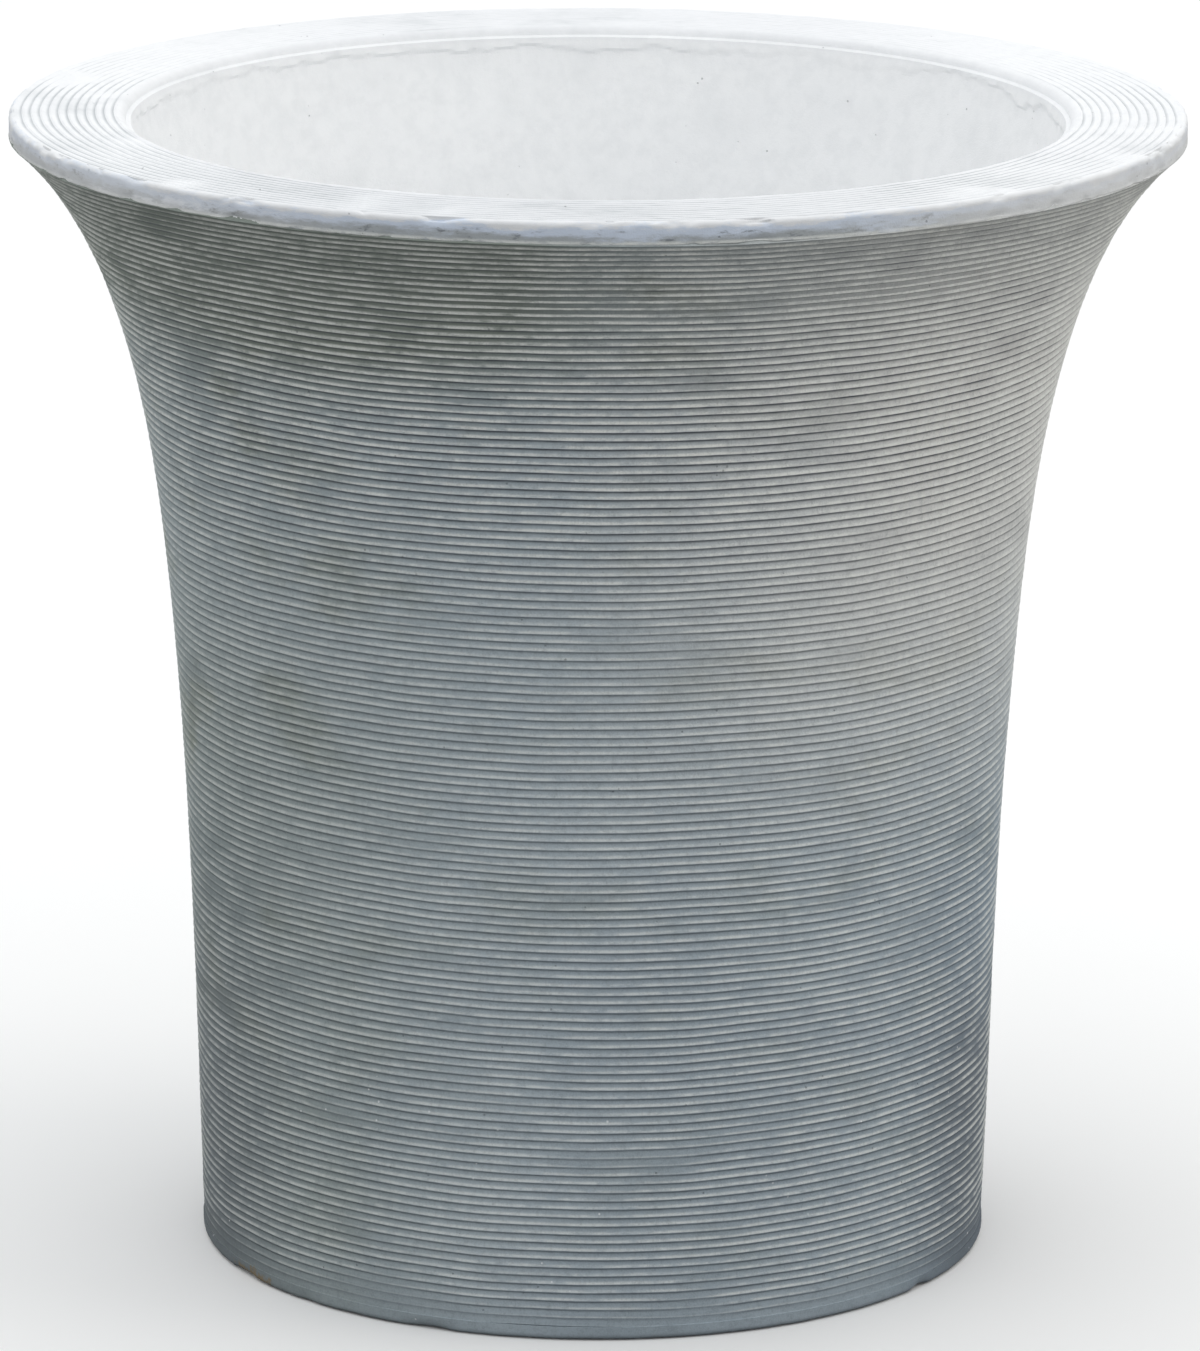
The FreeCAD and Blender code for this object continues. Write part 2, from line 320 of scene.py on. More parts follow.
def round_rows(centre, radius, first, last, steps, region, stain, lip=0.0):
    """Rows round an arc, from one angle to another."""
    rows = []
    for step in range(steps + 1):
        angle = math.radians(first + (last - first) * step / steps)
        out = at(math.cos(angle), math.sin(angle))
        rows.append(plain_row(centre + out * radius, out, region, stain, lip))
    return rows


def line_rows(start, end, steps, region, stain, lip=0.0):
    """Rows along a straight line, without its two ends."""
    step = (end - start).normalized()
    out = at(step.z, -step.x)
    return [
        plain_row(start.lerp(end, index / steps), out, region, stain, lip) for index in range(1, steps)
    ]


def curve_rows(curve, first, last, step, region, stain):
    """Rows along a curve at even steps, without its two ends."""
    count = max(1, round((last - first) / step))
    return [
        plain_row(*curve.find(first + (last - first) * index / count), region, stain)
        for index in range(1, count)
    ]


def flute_rows(curve, first, last, pitch, region, stain):
    """Rows along hollow flutes, from the first ridge to the last."""
    count = max(1, round((last - first) / pitch))
    spacing = (last - first) / count
    rows = [plain_row(*curve.find(first), region, stain)]
    for index in range(count):
        for along, depth, facing in FLUTE:
            place, normal = curve.find(first + (index + along) * spacing)
            rows.append(Row(place, normal, region, depth, facing, stain, 0.0))
    rows.append(plain_row(*curve.find(last), region, stain))
    return rows


def outside_curve(form):
    foot = at(form.foot_radius, 0.0)
    lip = at(form.rim_radius, form.height - form.lip_depth)
    return WallCurve(
        foot,
        foot + heading(form.foot_lean, form.foot_handle),
        lip - heading(form.flare_angle, form.flare_handle),
        lip,
    )


def mouth_corner(form):
    """Centre of the rim's inner rounding."""
    return at(form.rim_radius - form.rim_width + form.mouth_round, form.height - form.mouth_round)


def inside_curve(form):
    """The inside wall from the mouth down to the cove."""
    lean = form.mouth_lean
    centre = mouth_corner(form)
    mouth = centre + at(-math.cos(lean), math.sin(lean)) * form.mouth_round
    foot = at(form.foot_radius - form.wall, form.floor_height + form.cove)
    return WallCurve(mouth, mouth - heading(lean, form.mouth_handle), foot + UP * form.bowl_handle, foot)


def skin_rows(form, curve, first, last):
    """Hidden rows on the inner face of the outer layer, from the foot up to the lip."""
    rows = []
    for step in range(SKIN_STEPS + 1):
        place, normal = curve.find(first + (last - first) * step / SKIN_STEPS)
        rows.append(plain_row(place - normal * form.skin, -normal, "hidden", 1.0))
    return rows


def wall_outline(form):
    """The fluted wall from the foot's band up to the lip, and back down inside it."""
    curve = outside_curve(form)
    first = curve.level(form.foot_band)
    rows = flute_rows(curve, first, curve.length, form.flute_pitch, "wall", 1.0)
    return rows + skin_rows(form, curve, first, curve.length)[::-1]


def rim_outline(form):
    """Lip, rim and mouth, and back inside the wall."""
    outside, inside = outside_curve(form), inside_curve(form)
    lip_centre = at(form.rim_radius - form.lip_round, form.height - form.lip_round)
    arris_centre = at(form.rim_radius - form.lip_arris, form.height - form.lip_depth + form.lip_arris)
    mouth_end = 180 - math.degrees(form.mouth_lean)

    rows = round_rows(arris_centre, form.lip_arris, -60, 0, 5, "lip", 0.0, 1.0)
    rows += line_rows(rows[-1].place, lip_centre + at(form.lip_round, 0), 7, "lip", 0.0, 1.0)
    rows += round_rows(lip_centre, form.lip_round, 0, 90, 8, "lip", 0.0, 1.0)
    mouth_rows = round_rows(mouth_corner(form), form.mouth_round, 90, mouth_end, 9, "mouth", 0.0)
    rim_start, rim_end = rows.pop().place, mouth_rows.pop(0).place
    third = (rim_end - rim_start) / 3
    rim = WallCurve(rim_start, rim_start + third, rim_end - third, rim_end)
    rows += flute_rows(rim, 0.0, rim.length, form.flute_pitch, "rim", 0.0)
    rows += mouth_rows
    rows += curve_rows(inside, 0.0, form.rim_reach, MOUTH_STEP, "bowl", 0.0)
    place, normal = inside.find(form.rim_reach)
    lip_place, lip_normal = outside.find(outside.length)
    rows.append(plain_row(place, normal, "bowl", 0.0))
    rows.append(plain_row(place - normal * form.skin, normal, "hidden", 0.0))
    rows.append(plain_row(lip_place - lip_normal * form.skin, lip_normal, "hidden", 0.0))
    return rows


def bowl_outline(form):
    """Inside wall, floor, drain hole, underside and foot, and back up inside the wall."""
    outside, inside = outside_curve(form), inside_curve(form)
    band = outside.level(form.foot_band)
    foot_edge = outside.find(outside.level(form.foot_round))[0]
    cove_centre = at(form.foot_radius - form.wall - form.cove, form.floor_height + form.cove)
    collar = at(SLEEVE_HIGH.x, SLEEVE_HIGH.z)
    seat = SLEEVE_HIGH.z - form.collar_thickness
    drain = SLEEVE_HIGH.x - form.collar_width
    ring = form.foot_radius - form.foot_ring

    start, start_normal = inside.find(form.rim_reach)
    rows = [plain_row(start, start_normal, "bowl", 0.0)]
    rows += curve_rows(inside, form.rim_reach, inside.length, BOWL_STEP, "bowl", 0.0)
    rows += round_rows(cove_centre, -form.cove, 180, 90, 8, "bowl", 0.0)
    rows += line_rows(rows[-1].place, collar, 16, "floor", 0.0)
    under = [
        collar,
        at(collar.x, seat),
        at(drain, seat),
        at(drain, form.recess_depth),
        at(ring, form.recess_depth),
        at(ring, 0.0),
        at(foot_edge.x - form.foot_round, 0.0),
    ]
    for corner, following, steps in zip(under, under[1:], (1, 1, 3, 8, 2, 6)):
        rows.append(plain_row(corner, -UP, "under", 0.5))
        rows += line_rows(corner, following, steps, "under", 0.5)
    rows += round_rows(foot_edge - at(form.foot_round, 0.0), form.foot_round, -90, 0, 8, "foot", 1.0)
    rows += line_rows(foot_edge, outside.find(band)[0], 3, "foot", 1.0)
    rows.append(plain_row(*outside.find(band), "foot", 1.0))
    rows += skin_rows(form, outside, band, outside.length)
    rows.append(plain_row(start - start_normal * form.skin, start_normal, "hidden", 0.0))
    return rows


def spin(bm, ring, segments, closed):
    """Joins vertices into an outline and turns it once round the axis."""
    pairs = zip(ring, ring[1:] + ring[:1]) if closed else zip(ring, ring[1:])
    edges = [bm.edges.new(pair) for pair in pairs]
    bmesh.ops.spin(
        bm, geom=ring + edges, cent=(0, 0, 0), axis=UP, angle=math.tau, steps=segments, use_merge=True
    )


def spun(rows, segments):
    """A closed outline turned once round the axis, with each row's finish on its vertices."""
    bm = bmesh.new()
    region = bm.verts.layers.int.new("region")
    lean = bm.verts.layers.float_vector.new("lean")
    finish = {name: bm.verts.layers.float.new(name) for name in FINISHES}
    ring = []
    for row in rows:
        vert = bm.verts.new(row.place)
        vert[region] = REGIONS.index(row.region)
        vert[lean] = row.normal
        for name, layer in finish.items():
            vert[layer] = getattr(row, name)
        ring.append(vert)
    spin(bm, ring, segments, True)
    bmesh.ops.recalc_face_normals(bm, faces=bm.faces)
    return bm


def middle(low, high):
    """The step from the axis to the middle of a box, on the level."""
    return Vector(((low.x + high.x) / 2, (low.y + high.y) / 2, 0))


def eased(corners, easing, closed):
    """An outline with its corners rounded; an open one keeps its two ends."""
    corners = [at(*corner) for corner in corners]
    count = len(corners)
    points = []
    for index, corner in enumerate(corners):
        if not closed and index in (0, count - 1):
            points.append(corner)
            continue
        before, after = corners[index - 1] - corner, corners[(index + 1) % count] - corner
        reach = min(easing, before.length * EASED_SHARE, after.length * EASED_SHARE)
        start, end = corner + before.normalized() * reach, corner + after.normalized() * reach
        pulls = start.lerp(corner, EASED_PULL), end.lerp(corner, EASED_PULL)
        points += interpolate_bezier(start, *pulls, end, EASED_POINTS)
    return points


def turned(points, segments, closed):
    """A plain turned fitting, from a closed outline or one that starts and ends on the axis."""
    bm = bmesh.new()
    spin(bm, [bm.verts.new(point) for point in points], segments, closed)
    bmesh.ops.remove_doubles(bm, verts=bm.verts, dist=1e-6)
    bmesh.ops.recalc_face_normals(bm, faces=bm.faces)
    return bm


# Unevenness of the cast surfaces
def ramp(low, high, value):
    """0 below low, 1 above high, and smooth between them."""
    value = min(max((value - low) / (high - low), 0.0), 1.0)
    return value * value * (3 - 2 * value)


def cloud(place, size, offset=0.0):
    """Smooth noise from -1 to 1 with features of about this size."""
    return noise.noise(place / size + Vector((offset, -offset, 2 * offset)))


def flute_strength(place, wear):
    """How much of a flute's depth is left here: less where the cast is blurred or worn."""
    flat = Vector((place.x, place.y, place.z * 2.2))
    blur = ramp(0.1, 0.6, 0.6 * cloud(flat, 0.1, 3.7) + 0.5 * cloud(flat, 0.033, 2.3)) * wear.fade
    fine = 0.16 * cloud(place, 0.018, 9.1)
    return max(0.0, 1.0 - blur + fine)


def wall_strength(place, form, wear):
    """The same for the wall, where the flutes also run out towards the foot."""
    worn_foot = place.z + wear.foot_fade * 0.35 * cloud(place, 0.06, 8.8)
    return flute_strength(place, wear) * (0.12 + 0.88 * ramp(form.foot_band, wear.foot_fade, worn_foot))


def rim_strength(place, form, wear):
    """The same for the rim, where a plain margin is left along the lip."""
    margin = form.rim_radius - math.hypot(place.x, place.y)
    return (0.5 + 0.5 * flute_strength(place, wear)) * ramp(wear.rim_margin / 2, wear.rim_margin, margin)


def wall_shift(place, flute, form, wear):
    """(out, along) shift of a point of the ribbed wall."""
    layered = Vector((place.x, place.y, place.z * 7))
    along = 0.75 * cloud(place, 0.13, 1.3) + 0.35 * cloud(place, 0.045, 5.2)
    along += 0.4 * cloud(layered, 0.14, 4.5)
    strength = wall_strength(place, form, wear)
    deeper = 1.0 + wear.flare_depth * ramp(0.45, 0.68, place.z)
    out = -form.flute_depth * (flute * strength * deeper + 0.4 * (1 - min(strength, 1.0)))
    out += wear.lumps * (cloud(place, 0.16, 2.1) - 0.6) + wear.rough * (cloud(place, 0.012, 7.7) - 0.5)
    return out, wear.wander * along


def lip_shift(place, flute, form, wear):
    edge = Vector((place.x, place.y, place.z * 0.6))
    chip = ramp(0.18, 0.62, cloud(edge, 0.022, 4.4)) * 0.6 + ramp(0.3, 0.6, cloud(edge, 0.009, 8.3)) * 0.4
    worn = ramp(0.25, 0.8, abs(place.z - (form.height - form.lip_depth / 2)) / (form.lip_depth / 2))
    rough = 0.5 * (cloud(place, 0.012, 6.6) - 0.6) + 0.35 * (cloud(place, 0.005, 1.9) - 0.6)
    out = -wear.chips * chip * (0.25 + 0.75 * worn) + wear.lip_rough * rough
    out += wear.lumps * 0.6 * (cloud(place, 0.1, 2.9) - 1.0)
    return out, 0.0


def rim_shift(place, flute, form, wear):
    along = wear.wander * 0.5 * (cloud(place, 0.12, 1.1) + 0.5 * cloud(place, 0.04, 5.5))
    out = -form.flute_depth * flute * rim_strength(place, form, wear)
    out += wear.lumps * 0.6 * (cloud(place, 0.12, 2.2) - 1.0) + wear.rough * (cloud(place, 0.01, 7.1) - 1.0)
    return out, along


def mouth_shift(place, flute, form, wear):
    out = wear.lumps * 0.8 * (cloud(place, 0.05, 3.3) - 1.0) + wear.rough * (cloud(place, 0.01, 4.1) - 1.0)
    return out, 0.0


def bowl_shift(place, flute, form, wear):
    """The inside wall: a ragged cement film hangs from the mouth, and a seam runs up the wall."""
    drop = form.height - form.mouth_round - place.z
    reach = wear.film_drop * (0.75 + 0.7 * cloud(place, 0.05, 2.4) + 0.35 * cloud(place, 0.012, 6.1))
    film = wear.film * ramp(0.0, wear.film_edge, reach - drop) * ramp(-0.5, 0.15, cloud(place, 0.3, 9.4))
    angle = math.atan2(place.y, place.x)
    away = abs(math.sin(angle - wear.seam_angle)) * math.hypot(place.x, place.y)
    seam = wear.seam * ramp(wear.seam_width, 0.0, away)
    return film + seam + wear.lumps * 0.7 * cloud(place, 0.07, 3.1), 0.0


def floor_shift(place, flute, form, wear):
    near_drain = ramp(SLEEVE_HIGH.x, SLEEVE_HIGH.x + TRUE_FLOOR, math.hypot(place.x, place.y))
    return wear.lumps * near_drain * (cloud(place, 0.06, 4.0) - 0.3), 0.0


def foot_shift(place, flute, form, wear):
    chip = ramp(0.2, 0.65, cloud(place, 0.03, 4.8)) * ramp(form.foot_band, 0.0, place.z)
    return -wear.foot_chips * chip + wear.rough * (cloud(place, 0.01, 7.7) - 1.0), 0.0


SHIFTS = {
    "wall": wall_shift,
    "lip": lip_shift,
    "rim": rim_shift,
    "mouth": mouth_shift,
    "bowl": bowl_shift,
    "floor": floor_shift,
    "foot": foot_shift,
}


def weathered(bm, form, wear):
    """Moves the shown vertices off the true turned shape, square to it and along it."""
    region = bm.verts.layers.int["region"]
    lean = bm.verts.layers.float_vector["lean"]
    flute = bm.verts.layers.float["flute"]
    facing = bm.verts.layers.float["facing"]
    for vert in bm.verts:
        shift = SHIFTS.get(REGIONS[vert[region]])
        if shift is None:
            continue
        out, along = shift(vert.co, vert[flute], form, wear)
        if shift is wall_shift:
            vert[facing] *= 0.4 + 0.6 * min(wall_strength(vert.co, form, wear), 1.0)
        elif shift is rim_shift:
            vert[flute] *= min(rim_strength(vert.co, form, wear), 1.0)
        radius = math.hypot(vert.co.x, vert.co.y)
        cosine, sine = vert.co.x / radius, vert.co.y / radius
        normal = vert[lean]
        radial = normal.x * out - normal.z * along
        rise = normal.z * out + normal.x * along
        vert.co += Vector((radial * cosine, radial * sine, rise))
        vert.co.z = min(max(vert.co.z, 0.0), form.height)


def piece_from(bm, name, body, node, material, sharp_angle):
    """A finished piece: it rides on a body, stands for a node and has one material."""
    mesh = bpy.data.meshes.new(name)
    bm.to_mesh(mesh)
    bm.free()
    mesh.shade_smooth()
    mesh.set_sharp_from_angle(angle=math.radians(sharp_angle))
    mesh.materials.append(material)
    piece = bpy.data.objects.new(name, mesh)
    bpy.context.scene.collection.objects.link(piece)
    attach(piece, body)
    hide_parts(node)
    return piece


def cut_away(piece, cutter_mesh):
    """Takes a closed cutter's volume out of a piece."""
    cutter = bpy.data.objects.new("cutter", cutter_mesh)
    bpy.context.scene.collection.objects.link(cutter)
    cut = piece.modifiers.new("cut", "BOOLEAN")
    cut.operation = "DIFFERENCE"
    cut.solver = "EXACT"
    cut.object = cutter
    depsgraph = bpy.context.evaluated_depsgraph_get()
    finished = bpy.data.meshes.new_from_object(piece.evaluated_get(depsgraph))
    piece.modifiers.remove(cut)
    piece.data = finished
    bpy.data.objects.remove(cutter)


# Shader nodes
class Tree:
    """Adds nodes to a node tree and links them."""

    def __init__(self, tree):
        self.tree = tree
        self.column = 0

    def add(self, kind, inputs=None, **settings):
        node = self.tree.nodes.new(kind)
        node.location = (self.column * 60, -(self.column % 5) * 160)
        self.column += 1
        for name, value in settings.items():
            setattr(node, name, value)
        for key, value in (inputs or {}).items():
            self.feed(node.inputs[key], value)
        return node

    def feed(self, socket, value):
        if isinstance(value, bpy.types.NodeSocket):
            self.tree.links.new(value, socket)
        elif socket.type == "RGBA":
            socket.default_value = (*value, 1.0)
        else:
            socket.default_value = value

    def maths(self, operation, first, second=0.0, clamp=False):
        node = self.add("ShaderNodeMath", {0: first, 1: second}, operation=operation, use_clamp=clamp)
        return node.outputs[0]

    def times(self, first, *others):
        for other in others:
            first = self.maths("MULTIPLY", first, other)
        return first

    def plus(self, first, *others):
        for other in others:
            first = self.maths("ADD", first, other)
        return first

    def size_of(self, value):
        return self.maths("ABSOLUTE", value)

    def axes(self, vector):
        return self.add("ShaderNodeSeparateXYZ", {0: vector}).outputs

    def smooth(self, value, low, high, start=0.0, end=1.0):
        """A value taken from one range to another along a smooth step."""
        inputs = {"Value": value, 1: low, 2: high, 3: start, 4: end}
        node = self.add("ShaderNodeMapRange", inputs, interpolation_type="SMOOTHSTEP")
        return node.outputs[0]

    def mix(self, factor, first, second):
        inputs = {"Factor": factor, 6: first, 7: second}
        node = self.add("ShaderNodeMix", inputs, data_type="RGBA", clamp_factor=True)
        return node.outputs[2]

    def noise(self, vector, scale, detail=3.0, roughness=0.55):
        inputs = {"Vector": vector, "Scale": scale, "Detail": detail, "Roughness": roughness}
        return self.add("ShaderNodeTexNoise", inputs).outputs["Fac"]

    def spots(self, vector, scale):
        """Distance to the nearest of many scattered points, in cells."""
        return self.add("ShaderNodeTexVoronoi", {"Vector": vector, "Scale": scale}).outputs["Distance"]

    def stretched(self, vector, scale):
        """The same place with its axes scaled, for streaks."""
        return self.add("ShaderNodeMapping", {"Vector": vector, "Scale": scale}).outputs["Vector"]

    def place(self):
        return self.add("ShaderNodeTexCoord").outputs["Object"]

    def attribute(self, name):
        return self.add("ShaderNodeAttribute", attribute_name=name).outputs["Fac"]


def new_group(name, inputs, outputs):
    """A shader node group with its sockets: (group, tree helper, what it is given, what it puts out)."""
    group = bpy.data.node_groups.new(name, "ShaderNodeTree")
    for socket, kind in inputs:
        group.interface.new_socket(socket, in_out="INPUT", socket_type=kind)
    for socket, kind in outputs:
        group.interface.new_socket(socket, in_out="OUTPUT", socket_type=kind)
    tree = Tree(group)
    start = tree.add("NodeGroupInput")
    end = tree.add("NodeGroupOutput")
    return group, tree, start.outputs, end.inputs


def grain_group():
    """Sandy grain and pinholes of cement: a height, and masks for both."""
    name = "cement_grain"
    if name in bpy.data.node_groups:
        return bpy.data.node_groups[name]
    group, tree, given, wanted = new_group(
        name,
        [("Vector", "NodeSocketVector"), ("Pinholes", "NodeSocketFloat")],
        [("Grain", "NodeSocketFloat"), ("Holes", "NodeSocketFloat"), ("Height", "NodeSocketFloat")],
    )
    place = given["Vector"]
    sand = tree.noise(place, 900.0, 3.0, 0.65)
    coarse = tree.noise(place, 210.0, 4.0, 0.6)
    grain = tree.plus(tree.times(sand, 0.55), tree.times(coarse, 0.45))
    pick = tree.smooth(tree.noise(place, 47.0, 1.0), 0.62, 0.66)
    holes = tree.times(tree.smooth(tree.spots(place, 130.0), 0.13, 0.06), pick, given["Pinholes"])
    tree.feed(wanted["Grain"], grain)
    tree.feed(wanted["Holes"], holes)
    tree.feed(wanted["Height"], tree.maths("SUBTRACT", grain, tree.times(holes, 2.5)))
    return group


def dust_group():
    """Cement dust that settles in patches and lies on what faces up."""
    name = "settled_dust"
    if name in bpy.data.node_groups:
        return bpy.data.node_groups[name]
    group, tree, given, wanted = new_group(
        name,
        [("Vector", "NodeSocketVector"), ("Amount", "NodeSocketFloat")],
        [("Mask", "NodeSocketFloat"), ("Scuff", "NodeSocketFloat")],
    )
    patches = tree.noise(given["Vector"], 55.0, 5.0, 0.65)
    specks = tree.noise(given["Vector"], 420.0, 2.0)
    upward = tree.axes(tree.add("ShaderNodeNewGeometry").outputs["Normal"])["Z"]
    mask = tree.times(tree.smooth(patches, 0.42, 0.68), tree.smooth(upward, 0.2, 0.95, 0.35, 1.0))
    mask = tree.maths("ADD", mask, tree.smooth(specks, 0.62, 0.75, 0.0, 0.35), clamp=True)
    tree.feed(wanted["Mask"], tree.maths("MULTIPLY", mask, given["Amount"], clamp=True))
    tree.feed(wanted["Scuff"], specks)
    return group


def new_material(name):
    """A material with one surface shader: (material, tree helper, shader)."""
    material = bpy.data.materials.new(name)
    material.use_nodes = True
    tree = Tree(material.node_tree)
    shader = material.node_tree.nodes["Principled BSDF"]
    return material, tree, shader


def bump(tree, shader, height, strength, distance):
    inputs = {"Height": height, "Strength": strength, "Distance": distance}
    tree.feed(shader.inputs["Normal"], tree.add("ShaderNodeBump", inputs).outputs["Normal"])


def wall_colour(tree, place, colours, grain):
    """Weathered grey with painted light: darker and greener on the left as wet staining and painted shade,
    paler and warmer on the right as fading and painted sunlight, painted shade under the lip and at the
    lower edges, painted shade with soiling under the ridges, and a pale bloom with a painted highlight
    above them.
    """
    facing = tree.attribute("facing")
    axes = tree.axes(place)
    x, z = axes["X"], axes["Z"]
    broad = tree.noise(place, 3.4, 3.0, 0.5)
    patch = tree.noise(tree.stretched(place, (1.0, 1.0, 1.7)), 8.5, 4.0, 0.6)

    sides = tree.smooth(tree.size_of(x), 0.17, 0.27, 0.0, 0.6)
    blue = tree.plus(tree.smooth(broad, 0.3, 0.6, 0.02, 0.5), sides)
    body = tree.mix(tree.times(blue, tree.smooth(z, 0.48, 0.2)), colours.grey, colours.slate)

    level = tree.size_of(tree.plus(z, -0.52))
    # Painted shade: the left side is darker and greener, partly wet staining
    shaded = tree.times(tree.smooth(x, -0.02, -0.26), tree.smooth(level, 0.03, 0.16, 0.36, 0.62))
    # Painted shade under the lip's overhang all round, stronger in a wet streak at the left
    streak = tree.smooth(tree.size_of(tree.plus(x, 0.12)), 0.16, 0.03, 0.45, 1.15)
    shade_and_stain_under_lip = tree.times(tree.smooth(z, 0.6, 0.7), streak)
    patch = tree.times(tree.smooth(patch, 0.5, 0.72, 0.0, 0.55), tree.smooth(z, 0.1, 0.5, 0.35, 1.0))
    body = tree.mix(tree.plus(shaded, shade_and_stain_under_lip, patch), body, colours.damp_and_shade)
    # Painted shade: the lower edges on both sides are darker
    left_edge_shade = tree.times(tree.smooth(x, -0.17, -0.262, 0.0, 0.7), tree.smooth(z, 0.36, 0.06))
    right_edge_shade = tree.times(tree.smooth(x, 0.19, 0.255, 0.0, 0.7), tree.smooth(z, 0.24, 0.12))
    body = tree.mix(right_edge_shade, tree.mix(left_edge_shade, body, colours.dirt_and_shade), colours.dirt_and_shade)
    # Painted sunlight: the upper right is paler and warmer, partly fading
    sunny = tree.times(
        tree.smooth(x, -0.06, 0.24),
        tree.smooth(z, 0.28, 0.54),
        tree.smooth(broad, 0.3, 0.6, 0.75, 1.0),
        tree.smooth(z, 0.6, 0.72, 1.0, 0.72),
    )
    body = tree.mix(sunny, body, colours.bleached_and_sunlit)

    bloom = tree.noise(tree.stretched(place, (22.0, 22.0, 120.0)), 1.0, 5.0, 0.65)
    flecks = tree.noise(tree.stretched(place, (90.0, 90.0, 260.0)), 1.0, 3.0, 0.6)
    bloom = tree.plus(tree.times(bloom, 0.6), tree.times(flecks, 0.4))
    flare = tree.smooth(z, 0.40, 0.66)
    # Painted shade with soiling on the down-facing sides of the flutes, most in the flare
    grime_and_shade = tree.times(
        tree.smooth(facing, 0.15, -0.6),
        tree.smooth(bloom, 0.68, 0.42, 0.45, 1.0),
        tree.smooth(flare, 0.0, 1.0, 0.4, 1.0),
    )
    # Painted highlight with a pale bloom on the up-facing sides of the flutes, most on the right
    ridge = tree.times(
        tree.smooth(facing, 0.3, 0.75),
        tree.smooth(bloom, 0.36, 0.58, 0.2, 1.15),
        tree.smooth(flare, 0.0, 1.0, 0.5, 0.95),
        tree.smooth(x, -0.32, 0.2, 0.65, 1.0),
    )
    body = tree.mix(ridge, tree.mix(grime_and_shade, body, colours.dirt_and_shade), colours.chalk_and_highlight)
    return tree.mix(tree.smooth(grain, 0.42, 0.72, 0.0, 0.3), body, colours.dirt_and_shade)


def foot_colour(tree, place, colours, base):
    """Pale specks low on the wall, and a soil stain on the foot's edge."""
    specks = tree.times(
        tree.smooth(tree.spots(place, 110.0), 0.11, 0.05),
        tree.smooth(tree.noise(place, 38.0, 1.0), 0.58, 0.64),
        tree.smooth(tree.axes(place)["Z"], 0.3, 0.1, 0.0, 0.7),
    )
    body = tree.mix(specks, base, colours.white)
    away = tree.add("ShaderNodeVectorMath", {0: place, 1: SOIL_PLACE}, operation="SUBTRACT").outputs[0]
    flat = tree.stretched(away, (0.6, 0.6, 2.2))
    reach = tree.add("ShaderNodeVectorMath", {0: flat}, operation="LENGTH").outputs["Value"]
    ragged = tree.smooth(tree.noise(place, 160.0, 4.0, 0.65), 0.3, 0.7, -0.009, 0.009)
    return tree.mix(tree.smooth(tree.plus(reach, ragged), 0.016, 0.007, 0.0, 0.85), body, colours.earth)


def pale_colour(tree, place, colours):
    """Smooth pale cement with faint clouds and drips, whitest inside and on the two sides, where the
    whiteness is painted light, with painted shade and soiling in the rim's flutes.
    """
    axes = tree.axes(place)
    clouds = tree.noise(place, 11.0, 5.0, 0.6)
    drips = tree.noise(tree.stretched(place, (26.0, 26.0, 3.0)), 1.0, 4.0, 0.62)
    lines = tree.noise(place, 14.0, 3.0)
    sides = tree.smooth(tree.size_of(axes["X"]), 0.12, 0.32)
    inside = tree.smooth(axes["Z"], SHELL_HIGH.z - 0.001, SHELL_HIGH.z - 0.012)
    # Painted light: the rim is whiter on its two sides; the inside is whiter in its own colour
    body = tree.mix(tree.maths("MAXIMUM", tree.times(sides, 0.45), inside), colours.pale, colours.white)
    stain = tree.times(
        tree.smooth(clouds, 0.45, 0.75),
        tree.smooth(drips, 0.35, 0.75, 0.2, 0.8),
        tree.smooth(inside, 0.0, 1.0, 1.0, 0.55),
    )
    mottle = tree.smooth(tree.noise(place, 75.0, 5.0, 0.65), 0.35, 0.7, 0.0, 0.16)
    body = tree.mix(tree.maths("MAXIMUM", stain, mottle), body, colours.pale_stain)
    # Painted shade with soiling in the rim's flute hollows, strongest at the front
    flute_soil_and_shade = tree.times(
        tree.smooth(tree.attribute("flute"), tree.smooth(sides, 0.0, 1.0, 0.5, 0.72), 1.0),
        tree.smooth(lines, 0.35, 0.65, 0.6, 1.0),
        tree.smooth(sides, 0.0, 1.0, 0.95, 0.75),
    )
    return tree.mix(flute_soil_and_shade, body, colours.lip_grey)


